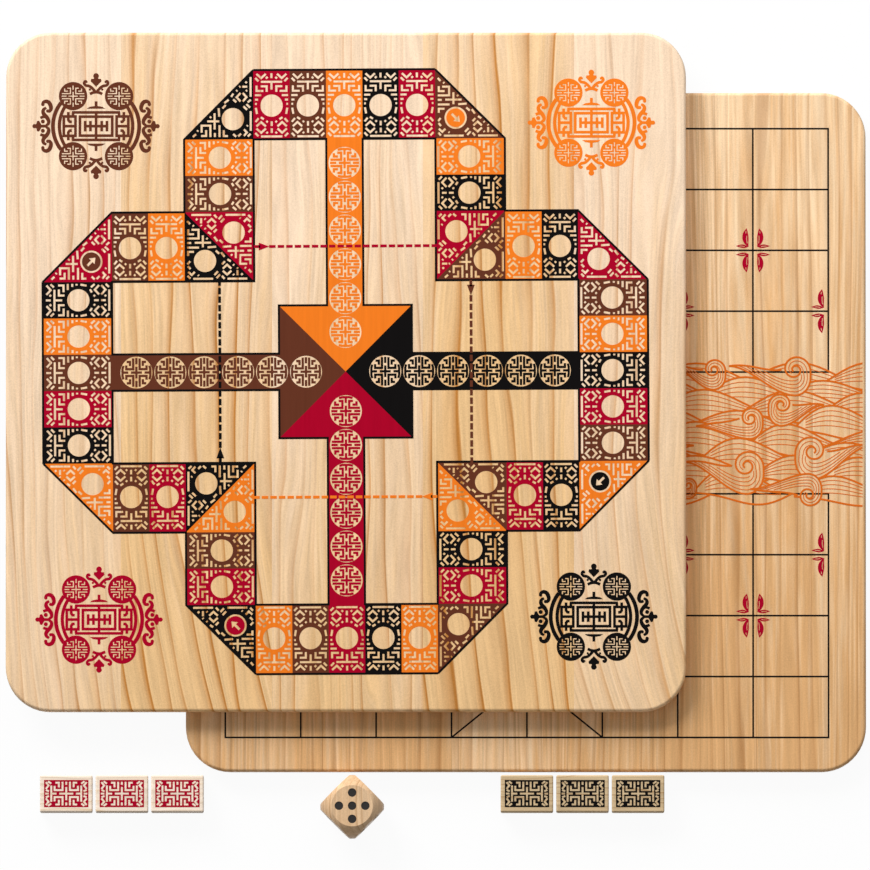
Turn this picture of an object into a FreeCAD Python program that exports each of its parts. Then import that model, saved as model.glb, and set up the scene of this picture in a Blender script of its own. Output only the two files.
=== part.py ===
import FreeCAD, Part
import Sketcher
import math
import os

# Two-board wooden game set laid out on a table: the race board lies on the river board,
# fanned out to the left and up, and the tiles and the die lie in a row below both boards.
# The origin is the centre of the river board's underside, +Z is up and +Y is up the printed boards.

os.makedirs("parts", exist_ok=True)
doc = FreeCAD.newDocument("game_set")

# Driving dimensions in millimetres
SIZES = [
    ("board_side", 350.0, "side of each square board"),
    ("board_thickness", 10.0, "thickness of each board"),
    ("board_corner", 23.0, "corner radius of the board outline"),
    ("board_edge", 1.6, "rounding of the board's upper and lower edges"),
    ("fan_left", 92.6, "race board's centre, left of the river board's"),
    ("fan_up", 30.4, "race board's centre, above the river board's on the table"),
    ("tile_length", 27.0, "long side of a tile"),
    ("tile_width", 19.0, "short side of a tile"),
    ("tile_thickness", 12.0, "thickness of a tile"),
    ("tile_edge", 0.8, "rounding of all tile edges"),
    ("tile_gap", 1.6, "gap between neighbouring tiles of a row"),
    ("row_gap", 2.0, "gap between the river board and what lies below it"),
    ("red_row_inset", 17.6, "red row's left end, in from the race board's left edge"),
    ("black_row_inset", 103.8, "black row's right end, in from the river board's right edge"),
    ("die_side", 25.0, "distance between opposite faces of the die"),
    ("die_face", 21.2, "diameter of the flat circle that the rounding leaves on each face of the die"),
    ("die_turn", 45.0, "turn of the die on the table, in degrees"),
    ("pip_diameter", 4.4, "drilled diameter of a pip"),
    ("pip_depth", 1.0, "drilled depth of a pip"),
    ("pip_paint", 0.6, "depth of the paint that fills a pip"),
    ("pip_spread", 4.8, "distance of the outer pips from a face's centre lines"),
]
TILES_IN_ROW = 3

dims = doc.addObject("Spreadsheet::Sheet", "dims")
for row, (alias, value, meaning) in enumerate(SIZES, start=1):
    dims.set(f"A{row}", meaning)
    dims.set(f"B{row}", str(value))
    dims.setAlias(f"B{row}", alias)
doc.recompute()


def place(piece, **expressions):
    """Bind the piece's position to expressions of the driving dimensions."""
    for axis, expression in expressions.items():
        piece.setExpression(f"Placement.Base.{axis}", expression)


def slab(label, length, width, thickness):
    """A body with one rectangular pad, centred on its Z axis and standing on its XY plane."""
    body = doc.addObject("PartDesign::Body", label)
    body.Label = label
    ground = next(plane for plane in body.Origin.OriginFeatures if plane.Role == "XY_Plane")
    sketch = body.newObject("Sketcher::SketchObject", label + "_outline")
    sketch.AttachmentSupport = [(ground, "")]
    sketch.MapMode = "FlatFace"
    corners = [(-1, -1), (1, -1), (1, 1), (-1, 1)]
    points = [FreeCAD.Vector(10 * x, 10 * y, 0) for x, y in corners]
    for index in range(4):
        sketch.addGeometry(Part.LineSegment(points[index], points[(index + 1) % 4]), False)
    for index in range(4):
        sketch.addConstraint(Sketcher.Constraint("Coincident", index, 2, (index + 1) % 4, 1))
        direction = "Horizontal" if index % 2 == 0 else "Vertical"
        sketch.addConstraint(Sketcher.Constraint(direction, index))
    sketch.addConstraint(Sketcher.Constraint("Symmetric", 0, 1, 2, 1, -1, 1))
    for name, line, expression in (("length", 0, length), ("width", 1, width)):
        number = sketch.addConstraint(Sketcher.Constraint("Distance", line, 20.0))
        sketch.renameConstraint(number, name)
        sketch.setExpression("Constraints." + name, expression)
    pad = body.newObject("PartDesign::Pad", label + "_pad")
    pad.Profile = sketch
    pad.setExpression("Length", thickness)
    doc.recompute()
    return body, pad


def is_upright(edge):
    """Whether a straight edge runs along Z."""
    first, last = edge.firstVertex().Point, edge.lastVertex().Point
    return abs(first.z - last.z) > 1e-6


def is_level(edge):
    """Whether an edge lies in one level plane."""
    return not is_upright(edge)


def round_edges(body, base, name, radius, wanted):
    """Fillet the edges of the base feature that the wanted test picks."""
    picked = [f"Edge{number}" for number, edge in enumerate(base.Shape.Edges, start=1) if wanted(edge)]
    fillet = body.newObject("PartDesign::Fillet", name)
    fillet.Base = (base, picked)
    fillet.setExpression("Radius", radius)
    doc.recompute()
    return fillet


def board(label):
    """A square board with a round-cornered outline and softly rounded upper and lower edges."""
    body, pad = slab(label, "dims.board_side", "dims.board_side", "dims.board_thickness")
    outline = round_edges(body, pad, label + "_corners", "dims.board_corner", is_upright)
    edge_radius = "min(dims.board_edge; 0.45 * dims.board_thickness)"
    round_edges(body, outline, label + "_edges", edge_radius, is_level)
    return body


def tile(label):
    """A small rectangular block with all its edges rounded a little."""
    body, pad = slab(label, "dims.tile_length", "dims.tile_width", "dims.tile_thickness")
    edge_radius = "min(dims.tile_edge; 0.45 * min(dims.tile_thickness; dims.tile_width))"
    round_edges(body, pad, label + "_edges", edge_radius, lambda edge: True)
    return body


# The two boards, one lying on the other
river_board = board("river_board")
race_board = board("race_board")
place(race_board, x="-dims.fan_left", y="dims.fan_up", z="dims.board_thickness")
pieces = [river_board, race_board]

# The two rows of tiles, side by side just below the river board
ROW_Y = "-dims.board_side / 2 - dims.row_gap - dims.tile_width / 2"
TILE_PITCH = "(dims.tile_length + dims.tile_gap)"
RED_START = "(-dims.fan_left - dims.board_side / 2 + dims.red_row_inset)"
BLACK_END = "(dims.board_side / 2 - dims.black_row_inset)"
RED_END = f"({RED_START} + {TILES_IN_ROW} * {TILE_PITCH} - dims.tile_gap)"
BLACK_START = f"({BLACK_END} - {TILES_IN_ROW} * {TILE_PITCH} + dims.tile_gap)"
for colour, start in (("red", RED_START), ("black", BLACK_START)):
    for number in range(TILES_IN_ROW):
        piece = tile(f"{colour}_tile_{number + 1}")
        place(piece, x=f"{start} + dims.tile_length / 2 + {number} * {TILE_PITCH}", y=ROW_Y)
        pieces.append(piece)

# The die's pips on each face, in steps of the pip spread from the face's centre
CENTRE = [(0, 0)]
RISING = [(-1, -1), (1, 1)]
FALLING = [(-1, 1), (1, -1)]
SIDES = [(-1, 0), (1, 0)]
FACE_PIPS = {
    1: CENTRE,
    2: RISING,
    3: CENTRE + FALLING,
    4: RISING + FALLING,
    5: CENTRE + RISING + FALLING,
    6: RISING + FALLING + SIDES,
}
# The turn that takes the upper face of the die to each numbered face, as an axis and degrees
X_AXIS = FreeCAD.Vector(1, 0, 0)
Y_AXIS = FreeCAD.Vector(0, 1, 0)
FACE_TURN = {
    5: FreeCAD.Rotation(X_AXIS, 0),
    2: FreeCAD.Rotation(X_AXIS, 180),
    6: FreeCAD.Rotation(X_AXIS, 90),
    1: FreeCAD.Rotation(X_AXIS, -90),
    3: FreeCAD.Rotation(Y_AXIS, -90),
    4: FreeCAD.Rotation(Y_AXIS, 90),
}


def pip_pegs(name, depth):
    """Round pegs standing on the floors of all drilled pips, around the die's centre."""
    faces = []
    for count, spots in FACE_PIPS.items():
        pegs = []
        for number, (across, along) in enumerate(spots, start=1):
            peg = doc.addObject("Part::Cylinder", f"{name}_{count}_{number}")
            peg.setExpression("Radius", "dims.pip_diameter / 2")
            peg.setExpression("Height", depth)
            place(
                peg,
                x=f"{across} * dims.pip_spread",
                y=f"{along} * dims.pip_spread",
                z="dims.die_side / 2 - dims.pip_depth",
            )
            pegs.append(peg)
        face = doc.addObject("Part::Compound", f"{name}_face_{count}")
        face.Links = pegs
        face.Placement = FreeCAD.Placement(FreeCAD.Vector(), FACE_TURN[count])
        faces.append(face)
    group = doc.addObject("Part::Compound", name)
    group.Links = faces
    return group


# The die: a cube rounded by a sphere about its centre, with its pips drilled and painted
BALL_RADIUS = "sqrt(dims.die_side ^ 2 + dims.die_face ^ 2) / 2"
cube = doc.addObject("Part::Box", "die_cube")
for side in ("Length", "Width", "Height"):
    cube.setExpression(side, "dims.die_side")
place(cube, x="-dims.die_side / 2", y="-dims.die_side / 2", z="-dims.die_side / 2")
ball = doc.addObject("Part::Sphere", "die_sphere")
ball.setExpression("Radius", BALL_RADIUS)
blank = doc.addObject("Part::Common", "die_blank")
blank.Base = cube
blank.Tool = ball
die = doc.addObject("Part::Cut", "die")
die.Base = blank
die.Tool = pip_pegs("pip_drill", "dims.pip_depth")
die_pips = pip_pegs("die_pips", "min(dims.pip_paint; dims.pip_depth)")
for piece in (die, die_pips):
    turn = FreeCAD.Rotation(FreeCAD.Vector(0, 0, 1), float(dims.die_turn))
    piece.Placement = FreeCAD.Placement(FreeCAD.Vector(), turn)
    place(
        piece,
        x=f"({RED_END} + {BLACK_START}) / 2",
        y=f"-dims.board_side / 2 - dims.row_gap - {BALL_RADIUS}",
        z="dims.die_side / 2",
    )
    pieces.append(piece)

doc.recompute()

# Nothing is written unless every object of the document is sound
for item in doc.Objects:
    if "Invalid" in item.State or "Error" in item.State:
        raise RuntimeError(f"{item.Label} failed to build")
for piece in pieces:
    if piece.Shape.isNull() or not piece.Shape.isValid():
        raise RuntimeError(f"{piece.Label} has no valid shape")
drilled = 21 * math.pi * (float(dims.pip_diameter) / 2) ** 2 * float(dims.pip_depth)
removed = blank.Shape.Volume - die.Shape.Volume
if abs(removed - drilled) > 0.01 * drilled:
    raise RuntimeError(f"the pips took {removed:.1f} mm3 out of the die instead of {drilled:.1f} mm3")
for piece in pieces:
    piece.Shape.exportStep(f"parts/{piece.Label}.step")
    box = piece.Shape.BoundBox
    print(
        f"{piece.Label}: {len(piece.Shape.Solids)} solid(s), {piece.Shape.Volume / 1000:.1f} cm3, "
        f"x {box.XMin:.1f} to {box.XMax:.1f}, y {box.YMin:.1f} to {box.YMax:.1f}, "
        f"z {box.ZMin:.1f} to {box.ZMax:.1f}"
    )
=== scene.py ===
# %% [markdown]
# # A two-board wooden game set
# The set is two square pine boards, six small block tiles and one wooden die. The boards and blocks
# are plain solids, so they arrive finished from the CAD frame. What is left for Blender is the part
# that the eye reads first: the grain of the wood and the coloured prints on it.

# %% Load the frame
import math
import random

import bmesh
import bpy
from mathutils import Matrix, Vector
from mathutils.geometry import delaunay_2d_cdt


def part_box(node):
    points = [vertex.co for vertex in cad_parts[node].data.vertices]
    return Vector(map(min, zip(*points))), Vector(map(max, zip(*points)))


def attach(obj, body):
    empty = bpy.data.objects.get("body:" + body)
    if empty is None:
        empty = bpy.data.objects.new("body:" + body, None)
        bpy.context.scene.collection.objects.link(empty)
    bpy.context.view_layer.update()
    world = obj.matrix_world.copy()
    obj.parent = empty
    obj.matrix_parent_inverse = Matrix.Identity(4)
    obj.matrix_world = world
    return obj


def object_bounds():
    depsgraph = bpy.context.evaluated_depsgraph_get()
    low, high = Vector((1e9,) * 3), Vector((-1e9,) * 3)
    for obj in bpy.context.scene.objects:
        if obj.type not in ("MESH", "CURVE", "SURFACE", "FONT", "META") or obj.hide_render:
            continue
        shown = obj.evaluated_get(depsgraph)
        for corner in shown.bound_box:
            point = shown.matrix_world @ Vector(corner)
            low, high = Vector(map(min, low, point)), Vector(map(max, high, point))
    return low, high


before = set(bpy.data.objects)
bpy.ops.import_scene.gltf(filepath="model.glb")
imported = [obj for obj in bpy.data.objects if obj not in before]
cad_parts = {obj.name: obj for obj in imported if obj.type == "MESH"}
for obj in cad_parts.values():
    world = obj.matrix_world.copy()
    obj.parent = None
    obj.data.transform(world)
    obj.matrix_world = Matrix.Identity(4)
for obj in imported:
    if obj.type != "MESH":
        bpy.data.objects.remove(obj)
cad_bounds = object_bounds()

MM = 0.001
print("CAD box", cad_bounds)


# %% [markdown]
# ## Small helpers
# Colours are written as the hex values that a painter would pick on a screen. Blender's shaders work
# on linear light, so one function does that conversion for the whole file. A second one adds a shader
# or geometry node with its settings and its links in one line, which keeps the trees readable. Where a
# node is given as an input, its first output is meant. The nodes that are used most get a short form.

# %% Colour and node helpers
def linear(hex_colour):
    """An sRGB hex colour as linear RGBA, by the formula of the sRGB standard."""
    channels = [int(hex_colour[i:i + 2], 16) / 255 for i in (1, 3, 5)]
    return [c / 12.92 if c <= 0.04045 else ((c + 0.055) / 1.055) ** 2.4 for c in channels] + [1.0]


def add(tree, kind, inputs=None, **settings):
    """Add a node with its settings; an input is a value, or a socket or node to link from."""
    node = tree.nodes.new(kind)
    for name, value in settings.items():
        setattr(node, name, value)
    for key, value in (inputs or {}).items():
        if isinstance(value, bpy.types.Node):
            value = value.outputs[0]
        if isinstance(value, bpy.types.NodeSocket):
            tree.links.new(value, node.inputs[key])
        else:
            node.inputs[key].default_value = value
    return node


def maths(tree, operation, *values):
    """A math node on two or three values."""
    return add(tree, "ShaderNodeMath", dict(enumerate(values)), operation=operation)


def noise(tree, place, width, detail):
    """A noise looked up at a place, with lumps of about the given width in metres."""
    return add(tree, "ShaderNodeTexNoise", {"Vector": place, "Scale": 1 / width, "Detail": detail})


def stretch(tree, value, low, high, new_low=0.0, new_high=1.0):
    """A value between low and high, stretched to a new range and held at its ends."""
    return add(tree, "ShaderNodeMapRange", {
        "Value": value, "From Min": low, "From Max": high, "To Min": new_low, "To Max": new_high})


# %% [markdown]
# ## Camera
# The set lies flat and is seen from above, as a player sees it. A long lens far away keeps both boards
# at one scale although one lies on the other. The camera leans a few degrees towards the near edge,
# so that a little of the near walls shows and the boards read as solid wood.

# %% Camera
PHOTO_PIXELS = 870
PIXELS_PER_MM = 1.943
# From the middle of the CAD box to the point that falls on the middle of the picture.
VIEW_SHIFT = Vector((-0.5, 0.286, 2.5)) * MM
CAMERA_TILT = math.radians(3.5)
CAMERA_DISTANCE = 16.0
SENSOR = 36.0

VIEW_CENTRE = (cad_bounds[0] + cad_bounds[1]) / 2 + VIEW_SHIFT
camera_data = bpy.data.cameras.new("overhead_camera")
camera_data.sensor_width = SENSOR
frame_width = PHOTO_PIXELS / PIXELS_PER_MM * MM
camera_data.lens = SENSOR * CAMERA_DISTANCE / frame_width
camera = bpy.data.objects.new("overhead_camera", camera_data)
camera.rotation_euler.x = CAMERA_TILT
towards_camera = Vector((0, -math.sin(CAMERA_TILT), math.cos(CAMERA_TILT)))
camera.location = VIEW_CENTRE + CAMERA_DISTANCE * towards_camera
bpy.context.collection.objects.link(camera)
bpy.context.scene.camera = camera
bpy.context.scene.view_settings.view_transform = "Standard"
print(f"camera lens {camera_data.lens:.0f} mm, frame {frame_width / MM:.0f} mm wide")

# %% [markdown]
# ## Light and table
# A large soft box stands far off beyond the far left corner and gives the short soft shadow to the
# right of each piece and below it. A small one beyond the far edge brightens the far rims, and an even
# sky fills the shadows. A truly white table would throw light back onto the wood and burn out to flat
# white. So to the light the table is grey, and to the camera it is for the most part a white glow: it
# looks white and still keeps its shadows. The light path node tells the two apart.

# %% Lamps
LAMPS = {
    # place in metres, side of the square in metres, power in watts
    "key_softbox": ((-2.2, 3.1, 2.2), 2.2, 206.0),
    "far_fill": ((0.2, 1.0, 0.65), 0.8, 5.6),
}


def lamp(name, location, size, power):
    """A square soft box aimed at the middle of the boards."""
    data = bpy.data.lights.new(name, "AREA")
    data.size = size
    data.energy = power
    obj = bpy.data.objects.new(name, data)
    obj.location = location
    obj.rotation_euler = (VIEW_CENTRE - obj.location).to_track_quat("-Z", "Y").to_euler()
    bpy.context.collection.objects.link(obj)


for lamp_name, setup in LAMPS.items():
    lamp(lamp_name, *setup)
print("lamps", ", ".join(LAMPS))

# %% Sky
SKY_FILL = 0.304
BACKDROP = 1.0


def ray_shows(tree):
    """1 for a ray that shows a thing to the camera, also by reflection, and 0 for one that lights it."""
    rays = add(tree, "ShaderNodeLightPath").outputs
    shows = rays["Is Camera Ray"]
    for kind in ("Is Glossy Ray", "Is Transmission Ray"):
        shows = maths(tree, "MAXIMUM", shows, rays[kind])
    return shows


world = bpy.data.worlds.new("studio")
bpy.context.scene.world = world
world.use_nodes = True
sky = world.node_tree
sky.nodes.clear()
strength = stretch(sky, ray_shows(sky), 0, 1, SKY_FILL, BACKDROP)
white = add(sky, "ShaderNodeBackground", {"Color": linear("#FFFFFF"), "Strength": strength})
add(sky, "ShaderNodeOutputWorld", {"Surface": white})
print(f"white backdrop, sky fill {SKY_FILL}")

# %% White table top
TABLE_SIZE = 6.0
TABLE_DROP = 0.3 * MM
TABLE_GLOW_SHARE = 0.8
TABLE_GLOW = 1.18


def new_material(name):
    """An empty node material and its tree."""
    material = bpy.data.materials.new(name)
    material.use_nodes = True
    material.node_tree.nodes.clear()
    return material, material.node_tree


# Matt laminate: an even surface without reflections, which takes soft shadows and shows no pattern.
laminate, tree = new_material("white_table_laminate")
share = maths(tree, "MULTIPLY", ray_shows(tree), TABLE_GLOW_SHARE)
matt = add(tree, "ShaderNodeBsdfDiffuse", {"Color": linear("#8C8C8C")})
glow = add(tree, "ShaderNodeEmission", {"Strength": TABLE_GLOW})
mixed = add(tree, "ShaderNodeMixShader", {0: share, 1: matt, 2: glow})
add(tree, "ShaderNodeOutputMaterial", {"Surface": mixed})

half = TABLE_SIZE / 2
corners = [(-half, -half), (half, -half), (half, half), (-half, half)]
table_mesh = bpy.data.meshes.new("table_top")
table_mesh.from_pydata([(x, y, -TABLE_DROP) for x, y in corners], [], [(0, 1, 2, 3)])
table_mesh.materials.append(laminate)
table = bpy.data.objects.new("table_top", table_mesh)
bpy.context.collection.objects.link(table)
print(f"table {TABLE_SIZE} m wide")


# %% [markdown]
# ## Wood
# The boards are glued up from pine staves, then sanded and lacquered. Each stave comes from another
# log, so it has its own ripeness, its own distance between the rings and its own swing of the grain.
# Pine shows wide pale bands of spring growth that end in a thin amber line, the late growth of the
# year. A picture of planks could be wrapped round the boards, but a recipe of nodes has no seams and
# goes on over the edges. Here a saw-tooth wave makes the rings, a noise bends them, and finer noises
# that are drawn out along the grain add streaks and fibres. Tighter rings make the blocks and the die.

# %% Glued staves
STAVE_WIDTH = 78 * MM
ONE_PIECE = ((0.0, 0.0, 1.0, 1.0),)


def glued_staves(tree, across, staves, middle):
    """Four sockets that say how the stave at a place across the board differs.

    They are how much riper it is, how far its rings swing out towards the near end, how close they stand
    and how clearly they show. A colour ramp without blending holds them, with 1 added to the first,
    because a colour isn't negative.
    """
    reach = len(staves) * STAVE_WIDTH / 2
    share = stretch(tree, across, middle - reach, middle + reach)
    chart = add(tree, "ShaderNodeValToRGB", {0: share})
    chart.color_ramp.interpolation = "CONSTANT"
    stops = chart.color_ramp.elements
    stops.remove(stops[1])
    for number, (riper, swing, close, clear) in enumerate(staves):
        stop = stops.new(number / len(staves)) if number else stops[0]
        stop.color = (1 + riper, swing, close, clear)
    parts = add(tree, "ShaderNodeSeparateColor", {0: chart}).outputs
    riper = maths(tree, "SUBTRACT", parts[0], 1.0)
    return riper, parts[1], parts[2], chart.outputs["Alpha"]


# %% Bent grain
RING_LEAN = 0.5
BEND_RINGS = 4.5
FIBRE_DRAW = 0.035


def bent_grain(tree, across, length, depth, swing, close, ring, wander):
    """Where to look patterns up: a place for slow changes, one along the fibres, one across the rings.

    Towards the near end the rings swing out in a curve, and below the surface they lean to one side. The
    noise that bends them is some rings wide and moves them by up to its own width.
    """
    near = maths(tree, "MINIMUM", length, 0.0)
    curve = maths(tree, "MULTIPLY", near, near)
    swung = maths(tree, "MULTIPLY", curve, swing)
    straight = maths(tree, "SUBTRACT", across, swung)
    leaning = maths(tree, "MULTIPLY_ADD", depth, RING_LEAN, straight)
    slow = maths(tree, "MULTIPLY", length, wander)
    slow_at = add(tree, "ShaderNodeCombineXYZ", {0: leaning, 1: slow, 2: close})
    width = BEND_RINGS * ring
    bend = noise(tree, slow_at, width, 3.0)
    bent = maths(tree, "MULTIPLY_ADD", bend, width, leaning)
    drawn = maths(tree, "MULTIPLY", length, FIBRE_DRAW)
    fibre_at = add(tree, "ShaderNodeCombineXYZ", {0: bent, 1: drawn, 2: depth})
    return slow_at, fibre_at, bent


# %% Year rings
WAVE_PERIOD = 0.314
LATE_WOOD = ((0.4, 0.05), (0.7, 0.2), (0.87, 0.6), (0.94, 1.0), (0.985, 0.5))
FADE_RINGS = 2.2
RIPE_SHOWS = 0.35
FAINT_AT, CLEAR_AT = 0.36, 0.66
FAINTEST = 0.25


def year_rings(tree, bent, slow_at, ripe_and_shade, close, clear, ring):
    """How much late wood there is: none in spring, most in a thin line that stops where the year ends.

    A wave texture of scale 1 repeats after WAVE_PERIOD metres, and LATE_WOOD pairs times of the year
    with shares. The rings fade here and there, and show best where the wood is riper, which takes in the
    painted shade towards the near end.
    """
    turns = maths(tree, "MULTIPLY", bent, close)
    ring_at = add(tree, "ShaderNodeCombineXYZ", {0: turns})
    wave = add(tree, "ShaderNodeTexWave", {"Vector": ring_at, "Scale": WAVE_PERIOD / ring},
               wave_profile="SAW", bands_direction="X")
    year = add(tree, "ShaderNodeValToRGB", {0: wave.outputs["Fac"]})
    stops = year.color_ramp.elements
    for stop in stops:
        stop.color = (0, 0, 0, 1)
    for time, share in LATE_WOOD:
        stops.new(time).color = (share, share, share, 1)
    fade = noise(tree, slow_at, FADE_RINGS * ring, 1.0)
    showing = maths(tree, "MULTIPLY_ADD", ripe_and_shade, RIPE_SHOWS, fade)
    weight = stretch(tree, showing, FAINT_AT, CLEAR_AT, FAINTEST)
    weight = maths(tree, "MULTIPLY", weight, clear)
    return maths(tree, "MULTIPLY", year, weight)


# %% Ripe wood
TONE_RINGS = 5.5
STREAK_WIDTH = 1.9 * MM
PALE_AT, HONEY_AT = 0.25, 0.8


def ripeness(tree, slow_at, fibre_at, ripe_and_shade, streaks, ring):
    """From 0 for the palest wood to 1 for honey: it changes slowly, in streaks along the grain, and with
    painted shade towards the near end.
    """
    tone = noise(tree, slow_at, TONE_RINGS * ring, 2.0)
    streak = noise(tree, fibre_at, STREAK_WIDTH, 4.0)
    streaked = maths(tree, "MULTIPLY_ADD", streak, streaks, ripe_and_shade)
    aged = maths(tree, "ADD", streaked, tone)
    return stretch(tree, aged, PALE_AT + streaks / 2, HONEY_AT + streaks / 2)


# %% Wood finish
# Real fibres and pores are far finer. They are drawn this coarse so that they show in the picture.
FIBRE_WIDTH = 1.5 * MM
PORE_WIDTH = 0.55 * MM
FIBRE_WEIGHT = 1.8
DARK_AT, LIGHT_AT = 0.9, 1.9
DARKEST, LIGHTEST = 0.82, 1.17
SMOOTHER, ROUGHER = 0.06, 0.08
FIBRE_BUMP, FIBRE_HEIGHT = 0.12, 0.1 * MM
LACQUER_IOR, LACQUER_SHEEN = 1.5, 0.1


def wood(name, pale, honey, late, ring_mm, roughness, along="Y", nearward_ripening_and_shade=0.0, streaks=0.0,
         wander=0.12, staves=ONE_PIECE, middle=0.0):
    """Sanded wood with year rings about ring_mm apart and the grain along Y or X.

    Ripe wood is honey coloured and shows its rings: warmer makes it riper by so much per metre towards
    the near end, which darkens it there, partly as the wood's own tone and partly as painted shade for
    the light that falls off towards that end. streaks makes it riper by so much in thin lines along the
    grain. The smaller wander is, the straighter the rings run. A board is glued up from staves to both
    sides of its middle.
    """
    ring = ring_mm * MM
    material, tree = new_material(name)
    place = add(tree, "ShaderNodeTexCoord").outputs["Object"]
    axes = add(tree, "ShaderNodeSeparateXYZ", {0: place}).outputs
    across, length = (axes[0], axes[1]) if along == "Y" else (axes[1], axes[0])
    riper, swing, close, clear = glued_staves(tree, across, staves, middle)
    # Towards the near end the wood is made riper, so more honey coloured and darker: partly the wood's own
    # tone, partly painted shade for the light that falls off there.
    ripe_and_shade = maths(tree, "MULTIPLY_ADD", length, -nearward_ripening_and_shade, riper)
    slow_at, fibre_at, bent = bent_grain(tree, across, length, axes[2], swing, close, ring, wander)
    spread = ripeness(tree, slow_at, fibre_at, ripe_and_shade, streaks, ring)
    rings = year_rings(tree, bent, slow_at, ripe_and_shade, close, clear, ring)
    base = add(tree, "ShaderNodeMix", {0: spread, 6: linear(pale), 7: linear(honey)}, data_type="RGBA")
    ringed = add(tree, "ShaderNodeMix", {0: rings, 6: base.outputs[2], 7: linear(late)}, data_type="RGBA")
    fibre = noise(tree, fibre_at, FIBRE_WIDTH, 3.0)
    pore = noise(tree, place, PORE_WIDTH, 1.0)
    mottle = maths(tree, "MULTIPLY_ADD", fibre, FIBRE_WEIGHT, pore)
    shade = stretch(tree, mottle, DARK_AT, LIGHT_AT, DARKEST, LIGHTEST)
    colour = add(tree, "ShaderNodeVectorMath", {0: ringed.outputs[2], 1: shade}, operation="MULTIPLY")
    rough = stretch(tree, fibre, 0, 1, roughness - SMOOTHER, roughness + ROUGHER)
    bump = add(tree, "ShaderNodeBump", {
        "Height": fibre, "Strength": FIBRE_BUMP, "Distance": FIBRE_HEIGHT})
    surface = add(tree, "ShaderNodeBsdfPrincipled", {
        "Base Color": colour, "Roughness": rough, "Normal": bump, "IOR": LACQUER_IOR,
        "Specular IOR Level": LACQUER_SHEEN})
    add(tree, "ShaderNodeOutputMaterial", {"Surface": surface})
    return material


# %% Woods of the set
def top_face(node):
    """The centre of a node's top face in millimetres, and its level in metres."""
    low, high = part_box(node)
    middle = (low + high) / 2 / MM
    return middle.x, middle.y, high.z


race_x, race_y, race_top = top_face("race_board")
river_x, river_y, river_top = top_face("river_board")
# Each stave, from the left: how much riper, how far it swings, how close its rings are and how clear.
RACE_STAVES = ((-0.1, 0.3, 1.2, 0.9), (0.13, 0.9, 1.0, 1.2), (-0.03, 0.0, 1.4, 0.85),
               (0.27, 0.4, 0.8, 1.2), (-0.12, 1.1, 0.9, 0.75))
RIVER_STAVES = ((0.05, 0.0, 1.2, 0.55), (0.1, 0.0, 1.0, 0.6), (0.0, 0.0, 1.4, 0.55),
                (0.1, 0.0, 1.1, 0.5), (0.08, 0.0, 1.3, 0.6))
# Lacquered pine: pale bands, thin amber lines that sweep out at the near end, and a soft sheen.
RACE_PINE = wood("lacquered_pine_pale", pale="#F5D9BB", honey="#EDC48E", late="#C07F3A", ring_mm=10.5,
                 roughness=0.5, nearward_ripening_and_shade=1.5, streaks=0.4, staves=RACE_STAVES, middle=race_x * MM)
# Lacquered pine sawn across the rings: close straight lines in a warmer tan, with the same sheen.
RIVER_PINE = wood("lacquered_pine_warm", pale="#FBDAB1", honey="#E2B079", late="#A0642A", ring_mm=7.5,
                  roughness=0.5, nearward_ripening_and_shade=1.1, streaks=1.1, wander=0.035, staves=RIVER_STAVES,
                  middle=river_x * MM)
# Sanded maple: nearly white, with rings so faint that the print stands out.
RED_TILE_WOOD = wood("sanded_maple", pale="#FFF1E4", honey="#FAE5CD", late="#E6C9A4", ring_mm=4.0,
                     roughness=0.55, along="X")
# Sanded oak, darkened with painted shade: a greyer tan with close rings, dull to the light.
BLACK_TILE_WOOD_AND_SHADE = wood("sanded_oak_with_painted_shade", pale="#DDC49C", honey="#CDB088", late="#A98459", ring_mm=3.0,
                       roughness=0.55, along="X")
# Beech polished by tumbling: an even pinkish tan, and the smoothest wood of the set.
DIE_BEECH = wood("polished_beech", pale="#EBCBA6", honey="#DDB58A", late="#B98A5A", ring_mm=3.2,
                 roughness=0.32)

# %% Dress the wooden pieces
TILES = [f"{colour}_tile_{number}" for colour in ("red", "black") for number in (1, 2, 3)]


def dress(node, material):
    """Give a CAD node its finish."""
    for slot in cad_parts[node].material_slots:
        slot.material = material


dress("race_board", RACE_PINE)
dress("river_board", RIVER_PINE)
for tile in TILES:
    dress(tile, RED_TILE_WOOD if tile.startswith("red") else BLACK_TILE_WOOD_AND_SHADE)
dress("die", DIE_BEECH)
print(f"dressed the boards, {len(TILES)} tiles and the die")


# %% [markdown]
# ## Ink
# The prints are screen printed: ink is pressed through a fine mesh and dries to a thin, even film. A
# picture of the print could be laid on the boards, but films with a real outline stay sharp from close
# by and have a finish of their own. The ink follows the fibres below it a little, so the tone of each
# moves by a few percent along the grain.

# %% Ink finishes
INK_STREAK_WIDTH = 1.6 * MM
INK_STREAK_DRAW = 0.04
STREAK_LOW, STREAK_HIGH = 0.25, 0.75
INK_DARKEST, INK_LIGHTEST = 0.94, 1.06
INK_SMOOTH, INK_ROUGH = 0.45, 0.6
INK_IOR, INK_SHEEN = 1.5, 0.02


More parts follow.
